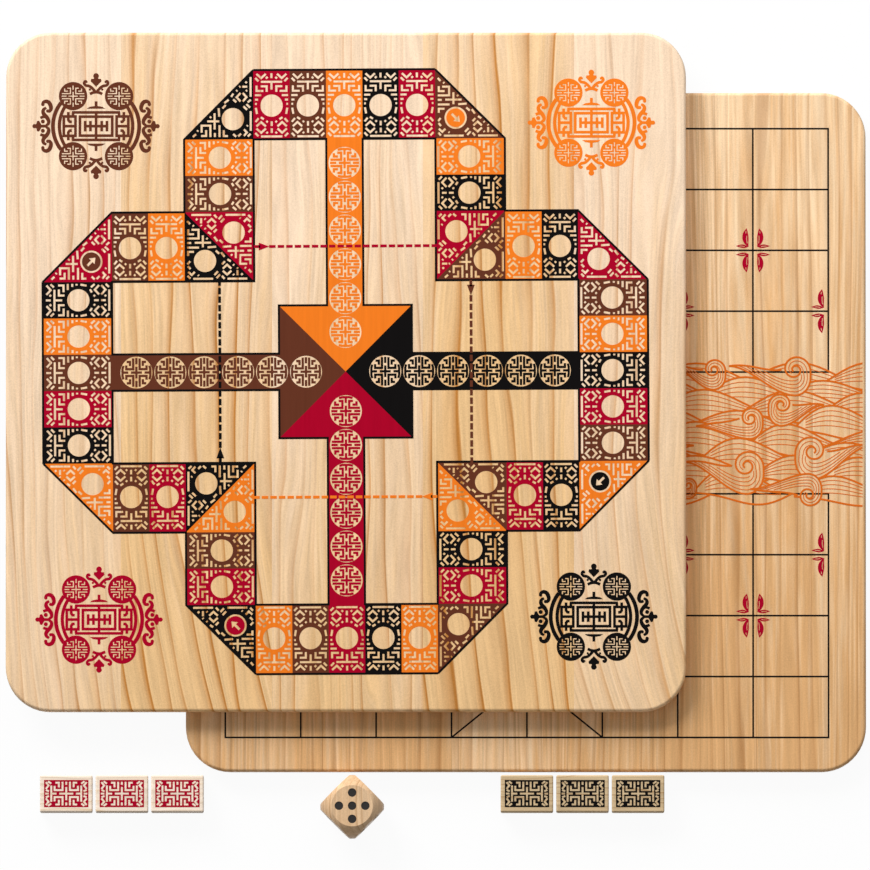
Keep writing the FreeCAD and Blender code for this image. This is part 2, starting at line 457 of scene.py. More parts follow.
def ink(name, hex_colour):
    """Screen-printing ink: a flat, opaque, nearly matt colour with faint streaks along the grain."""
    material, tree = new_material(name)
    place = add(tree, "ShaderNodeTexCoord").outputs["Object"]
    drawn = add(tree, "ShaderNodeMapping", {"Vector": place, "Scale": (1.0, INK_STREAK_DRAW, 1.0)})
    streak = noise(tree, drawn, INK_STREAK_WIDTH, 3.0)
    shade = stretch(tree, streak, STREAK_LOW, STREAK_HIGH, INK_DARKEST, INK_LIGHTEST)
    colour = add(tree, "ShaderNodeVectorMath", {0: linear(hex_colour)[:3], 1: shade}, operation="MULTIPLY")
    rough = stretch(tree, streak, 0, 1, INK_SMOOTH, INK_ROUGH)
    surface = add(tree, "ShaderNodeBsdfPrincipled", {
        "Base Color": colour, "Roughness": rough, "IOR": INK_IOR, "Specular IOR Level": INK_SHEEN})
    add(tree, "ShaderNodeOutputMaterial", {"Surface": surface})
    return material


# Each is the same ink with another pigment: it hides the wood and turns light back without a glint.
INKS = {
    "black": ink("screen_ink_black", "#100E0E"),
    "red": ink("screen_ink_crimson", "#AB0528"),
    "brown": ink("screen_ink_brown", "#643423"),
    "orange": ink("screen_ink_orange", "#F37D22"),
    "amber": ink("screen_ink_amber", "#DA6A1C"),
}
print("inks", ", ".join(INKS))


# %% [markdown]
# ## From outlines to ink
# A print is a stencil: fields of ink with bare lines left open in them. Boolean modifiers on thin
# sheets are slow and fragile, so the stencil is cut flat. Every stroke is a closed outline in
# millimetres, painted in order, and a constrained triangulation of all outlines at once tells for each
# triangle which outline covers it last. Where that one is ink, the triangle is kept and given the
# thickness of an ink film. The bare lines are then the board itself, with its own grain.

# %% Outlines of strokes
MITRE_LIMIT = 0.35


def ribbon(points, width, belly=0.0):
    """The outline of a stroke along a line of points, with mitred corners and a wider middle."""
    path = [Vector(p) for p in points]
    last = len(path) - 1
    left, right = [], []
    for i, point in enumerate(path):
        ahead = (path[min(i + 1, last)] - path[min(i, last - 1)]).normalized()
        behind = (path[max(i, 1)] - path[max(i - 1, 0)]).normalized()
        tangent = (ahead + behind).normalized()
        normal = Vector((-tangent.y, tangent.x))
        half_width = (width + belly * math.sin(math.pi * i / last)) / 2
        reach = half_width / max(MITRE_LIMIT, normal.dot(Vector((-ahead.y, ahead.x))))
        left.append(point + normal * reach)
        right.append(point - normal * reach)
    return right + left[::-1]


def strokes(lines, width, belly=0.0):
    """Outlines of many strokes of one width."""
    return [ribbon(line, width, belly) for line in lines]


def smooth(points, steps=5):
    """More points on a flowing curve through the given ones, by the Catmull-Rom formula."""
    path = [Vector(p) for p in (points[0], *points, points[-1])]
    curve = []
    for a, b, c, d in zip(path, path[1:], path[2:], path[3:]):
        for i in range(steps):
            u = i / steps
            curve.append(0.5 * (2 * b + u * (c - a) + u ** 2 * (2 * a - 5 * b + 4 * c - d)
                                + u ** 3 * (3 * b - a - 3 * c + d)))
    return [tuple(p) for p in curve] + [points[-1]]


# %% Round and straight shapes
def arc(x, y, radius, start, end, steps):
    """Points on an arc, angles in degrees."""
    angles = [math.radians(start + (end - start) * i / steps) for i in range(steps + 1)]
    return [(x + radius * math.cos(a), y + radius * math.sin(a)) for a in angles]


def disc(x, y, radius, steps=40):
    """The outline of a round spot."""
    return arc(x, y, radius, 0, 360, steps)[:-1]


def rectangle(x0, y0, x1, y1):
    """The outline of an upright rectangle."""
    return [(x0, y0), (x1, y0), (x1, y1), (x0, y1)]


def mirrored(lines, across=True, along=False):
    """The lines with their mirror images across the Y axis, the X axis or both."""
    result = list(lines)
    if across:
        result += [[(-x, y) for x, y in line] for line in result]
    if along:
        result += [[(x, -y) for x, y in line] for line in result]
    return result


# %% Press the stencil
COLOUR_FILM = 0.05
KEY_FILM = 0.07
TOP_FILM = 0.09
INSIDE_ONLY = 1
WELD = 1e-4


def inked(outlines):
    """Layers that lay ink down."""
    return [(outline, True) for outline in outlines]


def bare(outlines):
    """Layers that leave the wood open."""
    return [(outline, False) for outline in outlines]


def anticlockwise(outline):
    """The outline in anticlockwise order."""
    pairs = zip(outline, outline[1:] + outline[:1])
    twice_area = sum(a[0] * b[1] - b[0] * a[1] for a, b in pairs)
    return outline if twice_area > 0 else outline[::-1]


def press(name, layers, film):
    """A closed film of ink, in millimetres of height, from outlines painted in order."""
    points, faces = [], []
    for outline, _ in layers:
        faces.append(list(range(len(points), len(points) + len(outline))))
        points.extend(Vector(p) for p in anticlockwise(list(outline)))
    flat = delaunay_2d_cdt(points, [], faces, INSIDE_ONLY, WELD, True)
    spots, triangles, owners = flat[0], flat[2], flat[5]
    kept = [tuple(t) for t, owner in zip(triangles, owners) if owner and layers[max(owner)][1]]
    used = sorted({corner for t in kept for corner in t})
    number = {corner: i for i, corner in enumerate(used)}
    kept = [tuple(number[corner] for corner in t) for t in kept]
    count = len(used)
    sides = {(t[i], t[(i + 1) % 3]) for t in kept for i in range(3)}
    rims = [(a, b) for a, b in sides if (b, a) not in sides]
    vertices = [(spots[c].x * MM, spots[c].y * MM, z * MM) for z in (0, film) for c in used]
    walls = [(a, b, b + count, a + count) for a, b in sorted(rims)]
    below = [(c, b, a) for a, b, c in kept]
    above = [(a + count, b + count, c + count) for a, b, c in kept]
    mesh = bpy.data.meshes.new(name)
    mesh.from_pydata(vertices, [], below + above + walls)
    return mesh


# %% [markdown]
# ## Stamping
# The same few motifs repeat all over the boards. Geometry Nodes set them like rubber stamps: points
# carry the places and turns, Instance on Points sets the motif on each, and Realize Instances turns
# the copies into plain mesh, which the export needs.

# %% Stamp tree
def stamp_tree():
    """A node tree that sets a motif on every point, turned by the point's turn attribute."""
    tree = bpy.data.node_groups.new("stamp_motif", "GeometryNodeTree")
    for name, kind in (("Places", "NodeSocketGeometry"), ("Motif", "NodeSocketObject"),
                       ("Ink", "NodeSocketMaterial")):
        tree.interface.new_socket(name, in_out="INPUT", socket_type=kind)
    tree.interface.new_socket("Print", in_out="OUTPUT", socket_type="NodeSocketGeometry")
    given = add(tree, "NodeGroupInput").outputs
    motif = add(tree, "GeometryNodeObjectInfo", {"Object": given["Motif"], "As Instance": True})
    turn = add(tree, "GeometryNodeInputNamedAttribute", {"Name": "turn"}, data_type="FLOAT_VECTOR")
    rotation = add(tree, "FunctionNodeEulerToRotation", {0: turn})
    copies = add(tree, "GeometryNodeInstanceOnPoints", {
        "Points": given["Places"], "Instance": motif.outputs["Geometry"], "Rotation": rotation})
    plain = add(tree, "GeometryNodeRealizeInstances", {0: copies})
    coloured = add(tree, "GeometryNodeSetMaterial", {"Geometry": plain, "Material": given["Ink"]})
    add(tree, "NodeGroupOutput", {0: coloured})
    return tree


STAMP = stamp_tree()
SOCKET = {item.name: item.identifier for item in STAMP.interface.items_tree if item.in_out == "INPUT"}
print("stamp inputs", ", ".join(SOCKET))


# %% Stamp a motif and join a print
def stamp(motif, places, colour, level):
    """The motif's mesh set at each (x, y, turn in degrees) in mm, at a level in metres."""
    points = bpy.data.meshes.new("places")
    points.from_pydata([(x * MM, y * MM, level) for x, y, _ in places], [], [])
    turns = points.attributes.new("turn", "FLOAT_VECTOR", "POINT")
    for item, (_, _, turn) in zip(turns.data, places):
        item.vector = (0, 0, math.radians(turn))
    holder = bpy.data.objects.new("places", points)
    pattern = bpy.data.objects.new("pattern", motif)
    bpy.context.collection.objects.link(holder)
    modifier = holder.modifiers.new("stamp", "NODES")
    modifier.node_group = STAMP
    modifier[SOCKET["Motif"]] = pattern
    modifier[SOCKET["Ink"]] = INKS[colour]
    graph = bpy.context.evaluated_depsgraph_get()
    result = bpy.data.meshes.new_from_object(holder.evaluated_get(graph))
    for used in (holder, pattern):
        bpy.data.objects.remove(used)
    return result


def print_piece(name, meshes, colour, body):
    """Join the stamped meshes of one colour into one piece that rides on a body."""
    joined = bmesh.new()
    for mesh in meshes:
        joined.from_mesh(mesh)
    whole = bpy.data.meshes.new(name)
    joined.to_mesh(whole)
    joined.free()
    whole.materials.append(INKS[colour])
    piece = bpy.data.objects.new(name, whole)
    bpy.context.collection.objects.link(piece)
    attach(piece, body)
    print(f"{name}: {len(whole.polygons)} faces")


# %% [markdown]
# ## The race track
# The track is a ring of fifty-two fields round a cross, and it looks the same after each quarter turn
# while the four colours move on by one. It could be drawn field by field, but then a change would have
# to be made fifty-two times. So only one quarter is laid out: a corner triangle, five fields along the
# end of an arm, another triangle, two fields down its side, a square split in two, and two fields along
# the next arm. Every field is a block of colour with a bare round spot and fret lines.

# %% Sizes of the track in millimetres
FIELD = 18.72
DEPTH = 35.75
ARM = 2.5 * FIELD
REACH = ARM + 2 * DEPTH + 2 * FIELD
EDGE = REACH - DEPTH
HUB = 34.2
SPOT = 5.75
FRET = 1.08
COLOURS = ["black", "red", "brown", "orange"]
QUARTERS = range(4)
print(f"track {2 * REACH:.1f} mm across")

# %% A straight field
SPOT_DROP = 0.5


def straight_field():
    """One field with its outer side up, centred on the origin."""
    side_lines = [
        [(-7.7, 15.9), (-5.3, 13.7), (-2.9, 15.9)], [(-8.3, 13.8), (-6.7, 12.1)],
        [(-2.9, 13.5), (-2.0, 14.3)], [(-5.6, 9.5), (-2.5, 9.5), (-2.5, 6.6)],
        [(-7.7, 9.9), (-7.7, 7.1), (-4.2, 7.1)], [(-8.5, 4.9), (-5.3, 4.9)],
        [(-8.5, 2.6), (-6.9, 2.6)], [(-8.5, 0.4), (-7.6, 0.4)],
        [(-8.1, -1.6), (-7.5, -4.8)], [(-5.6, -6.5), (-4.0, -7.5)], [(-8.3, -8.9), (-6.7, -7.0)],
        [(-7.8, -11.2), (-5.4, -9.0), (-3.0, -11.2)], [(-7.8, -12.3), (-5.4, -14.5), (-3.0, -12.3)],
        [(-8.4, -14.6), (-6.8, -16.3)], [(-2.7, -14.1), (-2.0, -14.8)], [(-2.7, -9.1), (-2.0, -8.4)],
    ]
    middle_lines = [
        [(0, 16.2), (0, 13.7)], [(-5.5, 11.8), (5.5, 11.8)], [(0, 11.8), (0, 7.8)],
        [(0, -8.6), (0, -11.0)], [(0, -12.2), (0, -14.6)], [(-5.5, -16.4), (5.5, -16.4)],
    ]
    field = rectangle(-FIELD / 2, -DEPTH / 2, FIELD / 2, DEPTH / 2)
    lines = mirrored(side_lines) + middle_lines
    open_shapes = [disc(0, -SPOT_DROP, SPOT)] + strokes(lines, FRET)
    return press("straight_field", inked([field]) + bare(open_shapes), COLOUR_FILM)


# %% A corner field
CORNER_SPOT = (-10.6, 10.5)


def corner_field():
    """A triangular field with its right angle on the origin, below and right of the rest."""
    square_spiral = [
        [(-26.7, 3.6), (-26.7, 7.2), (-22.2, 7.2), (-22.2, 1.3)],
        [(-24.4, 4.9), (-24.4, 1.9), (-27.0, 1.9)],
        [(-31.2, 1.4), (-29.6, 2.8)], [(-29.0, 4.2), (-28.5, 4.8)],
    ]
    cross = [
        [(-20.0, 13.6), (-20.0, 5.2)], [(-23.8, 9.4), (-17.6, 9.4)], [(-22.4, 11.2), (-21.8, 11.9)],
        [(-19.9, 3.4), (-19.9, 1.3)], [(-17.5, 7.4), (-17.5, 1.3)], [(-17.9, 16.2), (-17.6, 11.8)],
        [(-15.3, 4.8), (-15.3, 1.8), (-13.2, 1.8)],
    ]
    beside_spot = [
        [(-10.5, 2.8), (-8.9, 1.4)], [(-7.9, 1.6), (-6.4, 3.0)], [(-5.0, 5.2), (-3.4, 3.6), (-5.0, 1.8)],
        [(-3.0, 1.5), (-1.5, 2.9)], [(-3.4, 6.8), (-2.9, 7.3)], [(-1.4, 14.6), (-1.4, 4.4)],
        [(-3.3, 15.3), (-5.2, 17.1)], [(-1.7, 16.4), (-3.6, 18.2)], [(-15.9, 16.0), (-14.3, 17.8)],
        [(-15.0, 18.8), (-12.7, 20.5)],
    ]
    diamond = [
        [(-6.6, 24.0), (-8.6, 21.8), (-6.6, 19.6)], [(-5.5, 24.0), (-3.5, 21.8), (-5.5, 19.6)],
        [(-8.8, 19.2), (-10.4, 20.7)], [(-11.4, 22.0), (-10.3, 23.7)], [(-8.8, 24.9), (-8.2, 25.4)],
        [(-2.9, 19.1), (-1.3, 20.5)], [(-3.8, 24.9), (-3.2, 25.4)], [(-1.4, 32.2), (-1.4, 22.0)],
        [(-5.8, 27.2), (-3.1, 27.2)], [(-7.2, 27.0), (-6.6, 27.4)], [(-4.1, 29.1), (-3.3, 29.8)],
    ]
    field = [(0, 0), (0, DEPTH), (-DEPTH, 0)]
    lines = square_spiral + cross + beside_spot + diamond
    open_shapes = [disc(*CORNER_SPOT, SPOT)] + strokes(lines, FRET)
    return press("corner_field", inked([field]) + bare(open_shapes), COLOUR_FILM)


# %% Where the fields go
# The fields of a quarter are numbered from 0 to 12 along the track. A row starts half a field before
# its first number, and the row along the end of the arm is centred on number 3.
END_CENTRE, SIDE_START, NEXT_START = 3, 6.5, 10.5
STRAIGHT_PLACES = {i: ((i - END_CENTRE) * FIELD, REACH - DEPTH / 2, 0) for i in range(1, 6)}
STRAIGHT_PLACES.update({i: (ARM + DEPTH / 2, EDGE - (i - SIDE_START) * FIELD, -90) for i in (7, 8)})
STRAIGHT_PLACES.update({
    i: (ARM + DEPTH + (i - NEXT_START) * FIELD, ARM + DEPTH / 2, 0) for i in (11, 12)})
CORNER_PLACES = {
    0: (-ARM, EDGE, 0), 6: (ARM, EDGE, -90), 9: (ARM, ARM + DEPTH, 180), 10: (ARM + DEPTH, ARM, 0)}


def quarter_turn(x, y, turn, quarter):
    """A place moved on clockwise by a number of quarter turns."""
    for _ in range(quarter):
        x, y = y, -x
    return x, y, turn - 90 * quarter


def places_by_colour(places):
    """All places of the four quarters, sorted by the colour that falls on each."""
    sorted_places = {colour: [] for colour in COLOURS}
    for index, place in places.items():
        for quarter in QUARTERS:
            colour = COLOURS[(index + quarter) % len(COLOURS)]
            sorted_places[colour].append(quarter_turn(*place, quarter))
    return sorted_places


print(f"{len(QUARTERS) * (len(STRAIGHT_PLACES) + len(CORNER_PLACES))} fields")


# %% [markdown]
# ## Home lanes, medallions and flight lines
# Four lanes lead home to the hub, each with six round fret medallions: bare discs with lines of the
# lane's ink. Dashed lines with an arrowhead mark the short cuts between the split squares. The lane
# and the lines of a medallion are two motifs, because the ornaments use the medallion's lines again.

# %% Medallions and lanes
MEDALLION = 8.25
MEDALLION_STEP = 17.45
MEDALLION_FIRST = 20.4
MEDALLION_LINE = 1.2
MEDALLION_PLACES = [(0, MEDALLION_FIRST + i * MEDALLION_STEP, 0) for i in range(6)]
LANE_OVERLAP = 0.5


def medallion_lines(scale=1.0, rim=True):
    """The fret of a round medallion, as lines of points, with or without the two bows at its rim."""
    quarter = [[(-7.3, 1.65), (-1.75, 1.65), (-1.75, 5.2), (-3.7, 5.2)],
               [(-5.5, 5.0), (-5.5, 3.3), (-3.4, 3.3)]]
    half = [[(-7.5, 0), (-4.3, 0)]]
    upper = [[(0, 4.2), (0, 6.9)]]
    if rim:
        upper += [[(-3.5, 6.7), (-1.8, 7.15), (1.8, 7.15), (3.5, 6.7)]]
    middle = [[(-3.0, 0), (3.0, 0)], [(0, -2.8), (0, 2.8)]]
    lines = mirrored(quarter, along=True) + mirrored(half)
    lines += mirrored(upper, across=False, along=True) + middle
    return [[(x * scale, y * scale) for x, y in line] for line in lines]


def lane():
    """A home lane with its share of the hub, with round gaps for the medallions."""
    strip = rectangle(-FIELD / 2, HUB - LANE_OVERLAP, FIELD / 2, EDGE)
    wedge = [(0, 0), (HUB, HUB), (-HUB, HUB)]
    gaps = [disc(x, y, MEDALLION) for x, y, _ in MEDALLION_PLACES]
    return press("home_lane", inked([strip, wedge]) + bare(gaps), COLOUR_FILM)


# %% Start discs, dashes and arrowheads
START_DISC = 4.8
ARROW_SHAFT = 1.25
DASH, DASH_STEP, DASH_LINE = 3.3, 4.4, 1.45
FIRST_STUB, ARROWHEAD_START, DASH_START = 1.6, 5.0, 9.4
DASHES = 20
FLIGHT = ARM + DEPTH / 2
DASH_PLACES = [(-ARM + DASH_START + i * DASH_STEP, FLIGHT, 0) for i in range(DASHES)]
DASH_PLACES += [(-ARM + FIRST_STUB, FLIGHT, 0)]


def start_disc():
    """A round start spot with an arrow left bare in it, pointing up."""
    arrow = [ribbon([(0, -2.9), (0, 0.8)], ARROW_SHAFT), [(-2.1, 0.3), (2.1, 0.3), (0, 3.0)]]
    return press("start_disc", inked([disc(0, 0, START_DISC)]) + bare(arrow), COLOUR_FILM)


dash = press("dash", inked([rectangle(-DASH / 2, -DASH_LINE / 2, DASH / 2, DASH_LINE / 2)]), TOP_FILM)
arrowhead = press("arrowhead", inked([[(-2.6, -2.0), (2.9, 0), (-2.6, 2.0)]]), TOP_FILM)
print(f"{len(DASH_PLACES)} dashes in a flight line")

# %% Outlines of the track
LINE = 1.1


def track_outline():
    """The black line round the arms, lanes and hub: one quarter, pressed four times."""
    outer = [(-ARM - DEPTH, ARM + DEPTH), (-ARM - DEPTH, EDGE), (-ARM, REACH)]
    inner = [(-ARM, ARM), (-ARM, EDGE), (-FIELD / 2, EDGE), (-FIELD / 2, HUB), (-HUB, HUB)]
    lines = mirrored([outer, inner]) + [[(-ARM, REACH), (ARM, REACH)]]
    ends = [(-ARM - DEPTH, ARM + DEPTH), (ARM, ARM), (HUB, HUB)]
    caps = [rectangle(x - LINE / 2, y - LINE / 2, x + LINE / 2, y + LINE / 2) for x, y in ends]
    return press("track_outline", inked(strokes(lines, LINE) + caps), KEY_FILM)


# %% [markdown]
# ## Corner ornaments
# Each corner of the race board carries one ornament in a player's colour: four fret medallions round a
# small lattice, joined by double arcs, with scrolls and buds at the four sides. It is symmetrical both
# ways, so a quarter of the lines is written and mirrored, which also keeps the halves alike.

# %% Ornament
ROUND_X, ROUND_Y, ROUND_SIZE = -11.84, 15.5, 7.3
ROUND_FRET_SCALE = 0.79
LATTICE_LINE, OUTER_LINE, INNER_LINE = 1.4, 2.0, 1.7
SCROLL_LINE, SCROLL_BELLY = 1.2, 0.9
TENDRIL_LINE = 1.45
OPEN_LINE = 0.55


def ornament_curls():
    """The scrolls at the two sides and the tendrils below the buds, as lines of points."""
    scrolls = mirrored([
        smooth([(-27.6, 11.2), (-27.2, 12.2), (-25.8, 12.8), (-24.3, 12.2), (-23.4, 10.6), (-23.2, 9.0),
                (-23.9, 7.8), (-24.9, 7.7)]),
        smooth([(-25.6, 9.5), (-26.9, 8.7), (-27.3, 7.4), (-26.7, 6.0), (-25.5, 4.7), (-24.5, 3.0),
                (-24.5, 1.4), (-25.8, 0.3)]),
    ], along=True)
    tendrils = mirrored([
        smooth([(-0.3, 17.6), (-2.0, 19.6), (-3.6, 20.7), (-5.2, 21.0), (-6.1, 22.0), (-5.8, 23.0),
                (-4.9, 23.1)]),
        smooth([(-3.2, 16.6), (-1.6, 17.3), (0, 17.6)]), [(0, 9.8), (0, 12.8)], [(-25.4, 0), (-29.0, 0)],
        smooth([(-28.7, 4.2), (-27.5, 4.7), (-26.2, 4.9)]),
    ], along=True)
    return scrolls, tendrils


def ornament_solids():
    """The dots, buds and caps of the ornament, as outlines."""
    dots = mirrored([
        disc(-3.2, 18.9, 0.6, 12), disc(-27.4, 2.4, 1.05, 12), disc(-27.4, 11.2, 0.9, 12),
        disc(-24.9, 7.8, 0.85, 12), disc(-31.7, 0, 1.1, 12), disc(0, 25.9, 1.45, 16),
        disc(-5.0, 22.9, 0.65, 12),
    ], along=True)
    bud = [(0, 20.3), (2.8, 23.2), (2.5, 24.4), (1.3, 24.4), (0.6, 25.4), (-0.6, 25.4), (-1.3, 24.4),
           (-2.5, 24.4), (-2.8, 23.2)]
    side_bud = [(-27.7, 0), (-29.3, 2.8), (-30.4, 2.6), (-30.7, 1.2), (-31.6, 0.6), (-31.6, -0.6),
                (-30.7, -1.2), (-30.4, -2.6), (-29.3, -2.8)]
    cap = [(-4.8, 9.0), (4.8, 9.0), (3.2, 10.0), (0, 10.5), (-3.2, 10.0)]
    return dots + mirrored([bud, cap], across=False, along=True) + mirrored([side_bud])


def ornament():
    """A symmetrical fret ornament about 66 by 55 mm, centred on the origin."""
    discs = mirrored([disc(ROUND_X, ROUND_Y, ROUND_SIZE)], along=True)
    round_fret = medallion_lines(ROUND_FRET_SCALE, rim=False)
    fret = [[(x + ROUND_X, y + ROUND_Y) for x, y in part] for part in round_fret]
    lattice = mirrored([
        [(-12.4, 7.1), (0, 7.1)], [(-11.84, 7.1), (-11.84, 5.0)], [(-8.3, 0), (-8.3, 4.9), (0, 4.9)],
        [(-5.6, 2.7), (-5.6, 0)], [(-2.9, 2.7), (-2.9, 0)], [(0, 7.1), (0, 0)], [(-5.6, 0), (0, 0)],
        [(-10.6, 0), (-10.6, 5.0), (-16.6, 5.0), (-16.6, 0)], [(-16.6, 0), (-10.6, 0)],
        [(-14.3, 7.3), (-14.3, 3.2), (-13.6, 2.3), (-12.5, 2.2)],
    ], along=True)
    outer_arcs = mirrored([arc(x=-2.6, y=0, radius=19.6, start=142, end=218, steps=24)])
    inner_arcs = mirrored([arc(x=0, y=0, radius=18.9, start=148, end=212, steps=20)])
    scrolls, tendrils = ornament_curls()
    ink_parts = strokes(lattice, LATTICE_LINE) + strokes(outer_arcs, OUTER_LINE)
    ink_parts += strokes(inner_arcs, INNER_LINE) + strokes(scrolls, SCROLL_LINE, SCROLL_BELLY)
    ink_parts += strokes(tendrils, TENDRIL_LINE) + ornament_solids() + discs
    open_lines = strokes(mirrored(fret, along=True), OPEN_LINE)
    return press("ornament", inked(ink_parts) + bare(open_lines), COLOUR_FILM)


# %% [markdown]
# ## Printing the race board
# Every colour is a screen of its own, so every colour becomes one piece that rides on the board. A
# print is never laid down quite square: this one sits about a fifth of a millimetre off the middle and
# is turned by 0.3 degrees. Each motif is stamped in the colours and places that the layout gives.

# %% Print the race board
PRINT_SHIFT = (-0.2, 0.15)
PRINT_TURN = 0.3
ARROW_TURN = -135
ORNAMENT_PLACES = {"brown": (-128.7, 126.7), "orange": (126.3, 128.5), "red": (-127.0, -127.7),
                   "black": (127.5, -126.2)}


def moved(places, dx, dy, askew):
    """Places turned round the hub by an angle in degrees and shifted on the board, in millimetres."""
    c, s = math.cos(math.radians(askew)), math.sin(math.radians(askew))
    return [(c * x - s * y + dx, s * x + c * y + dy, turn + askew) for x, y, turn in places]


def all_quarters(places, first):
    """Places of one motif turned round the hub, with the colour moving on from the first each quarter."""
    start = COLOURS.index(first)
    return {COLOURS[(start + quarter) % len(COLOURS)]: [quarter_turn(*place, quarter) for place in places]
            for quarter in QUARTERS}


print_x, print_y = race_x + PRINT_SHIFT[0], race_y + PRINT_SHIFT[1]
start_place = (ARM + CORNER_SPOT[1], EDGE - CORNER_SPOT[0], ARROW_TURN)
medallion = press("medallion", inked(strokes(medallion_lines(), MEDALLION_LINE)), COLOUR_FILM)
motifs = [
    (straight_field(), places_by_colour(STRAIGHT_PLACES)),
    (corner_field(), places_by_colour(CORNER_PLACES)),
    (lane(), all_quarters([(0, 0, 0)], "orange")),
    (medallion, all_quarters(MEDALLION_PLACES, "orange")),
    (start_disc(), all_quarters([start_place], "orange")),
    (dash, all_quarters(DASH_PLACES, "red")),
    (arrowhead, all_quarters([(-ARM + ARROWHEAD_START, FLIGHT, 0)], "red")),
    (track_outline(), {"black": [quarter_turn(0, 0, 0, quarter) for quarter in QUARTERS]}),
]
corner_ornament = ornament()
for colour in COLOURS:
    meshes = [stamp(motif, moved(places[colour], print_x, print_y, PRINT_TURN), colour, race_top)
              for motif, places in motifs if colour in places]
    spot = ORNAMENT_PLACES[colour]
    meshes.append(stamp(corner_ornament, [(race_x + spot[0], race_y + spot[1], 0)], colour, race_top))
    print_piece(f"race_print_{colour}", meshes, colour, "race_board")


# %% [markdown]
# ## The river board
# The other board carries a grid of nine files and ten ranks with an open river across its middle, a
# cross of diagonals in the palace at each end, and pairs of leaves round the points where pieces start.
# Half of the grid is written and mirrored over the river, and one pair of leaves is set at every point.

# %% Grid lines
FILE_STEP, RANK_STEP = 38.8, 31.4
FILES = [FILE_STEP * i for i in range(-4, 5)]
RANKS = [RANK_STEP * i for i in range(1, 6)]
GRID_LINE = 0.85


def grid():
    """The grid with its river gap and its palace diagonals."""
    palace_front, palace_back = RANKS[2], RANKS[4]
    half = [[(FILES[0] - GRID_LINE / 2, y), (FILES[-1] + GRID_LINE / 2, y)] for y in RANKS]
    half += [[(x, RANKS[0]), (x, RANKS[-1])] for x in FILES]
    half += [[(-FILE_STEP, palace_front), (FILE_STEP, palace_back)],
             [(FILE_STEP, palace_front), (-FILE_STEP, palace_back)]]
    return press("grid", inked(strokes(mirrored(half, across=False, along=True), GRID_LINE)), KEY_FILM)


# %% Leaves at the starting points
VEIN = 0.3
PAST_EDGE = 1


def leaf_pair():
    """An upright and a lying leaf in the upper right corner of a grid point, with bare veins."""
    upright = smooth([(2.2, 1.8), (4.1, 3.2), (5.2, 5.2), (5.4, 7.2), (4.8, 9.4), (3.2, 11.4)])
    upright += smooth([(3.2, 11.4), (2.6, 9.2), (2.2, 6.5), (2.3, 4.0), (2.2, 1.8)])[1:-1]
    lying = smooth([(2.2, 1.9), (4.2, 2.8), (6.2, 3.0), (8.8, 2.2)])
    lying += smooth([(8.8, 2.2), (6.6, 1.5), (4.4, 1.2), (2.2, 1.9)])[1:-1]
    veins = strokes([smooth([(2.9, 3.6), (3.2, 5.6), (3.1, 7.6)]), [(3.7, 8.7), (3.5, 10.0)],
                     smooth([(4.2, 1.9), (5.6, 2.2), (7.0, 2.2)])], VEIN)
    return upright, lying, veins


def marked_points():
    """All leaf pairs: two beside an edge point, four round any other."""
    points = [(x, RANKS[1]) for x in FILES[::2]] + [(x, RANKS[2]) for x in (FILES[1], FILES[-2])]
    leaves, veins = [], []
    upright, lying, vein = leaf_pair()
    for x, y in points + [(x, -y) for x, y in points]:
        for side in (-1, 1):
            if abs(x + side * FILE_STEP) > FILES[-1] + PAST_EDGE:
                continue
            for end in (-1, 1):
                leaves += [[(x + side * u, y + end * v) for u, v in leaf] for leaf in (upright, lying)]
                veins += [[(x + side * u, y + end * v) for u, v in line] for line in vein]
    return press("leaves", inked(leaves) + bare(veins), COLOUR_FILM)


# %% [markdown]
# ### Waves
# The river is a band of line-drawn water from edge to edge. It is built back to front like a stage set.
# Each wave is a bare shape that hides what lies behind it, with a bold outline and a few fine lines
# that follow it. Swells are leaf-shaped, and breakers run down a long back into a bowl and up into a
# spiral. A seeded random generator varies the swells, so each run gives the same sea.

# %% Swells
BOLD, FINE = 0.95, 0.38
SWELL_STEPS = 16
CREST_POWER = 1.3
SWAY, HOLLOW = 0.16, 0.42
FINE_SHARES = (0.2, 0.4, 0.6, 0.8)
NARROW, WIDEN = 0.55, 0.45
END_GAP = 2


def swell(x, y, length, height, lean):
    """A wave body from a crest line down to a hollow, as layers in painting order.

    A lean above 1 moves the crest to the right and one below 1 to the left.
    """
    crest, hollow = [], []
    for i in range(SWELL_STEPS + 1):
        u = i / SWELL_STEPS
        rise = math.sin(math.pi * u ** lean) ** CREST_POWER
        sway = SWAY * height * math.sin(2 * math.pi * u)
        crest.append((x + (u - 0.5) * length, y + height * rise + sway))
        hollow.append((x + (u - 0.5) * length, y - HOLLOW * height * math.sin(math.pi * u) + sway))
    body = crest + hollow[::-1][1:-1]
    between = []
    for share in FINE_SHARES:
        line = []
        for i, (a, b) in enumerate(zip(crest, hollow)):
            along = i / SWELL_STEPS if lean > 1 else 1 - i / SWELL_STEPS
            part = share * (NARROW + WIDEN * along)
            line.append(((1 - part) * a[0] + part * b[0], (1 - part) * a[1] + part * b[1]))
        between.append(line[END_GAP:-END_GAP])
    outline = [ribbon(crest, BOLD), ribbon(hollow, BOLD)]
    return bare([body]) + inked(strokes(between, FINE)) + inked(outline)


# %% Breakers
# Lengths are in radii of the spiral, angles in degrees and turns in whole turns from straight below.
FOOT = 1.65
BACK_STEPS, TOP_STEPS = 12, 10
BACK_FAN = 0.55
SPIRAL_START, SPIRAL_STEP, SPIRAL_END = -84, 12, 600
BODY_END = 175
BOWL, FIRST_COIL, LAST_COIL = 0.325, 0.75, 0.35
SIDE_TURN = 0.25
TOP_START = 0.86
FINE_GAP = 0.24
FINE_RUNS = ((1, 0.84, 235), (2, 0.72, 120), (3, 0.6, -35), (4, 0.47, -70))


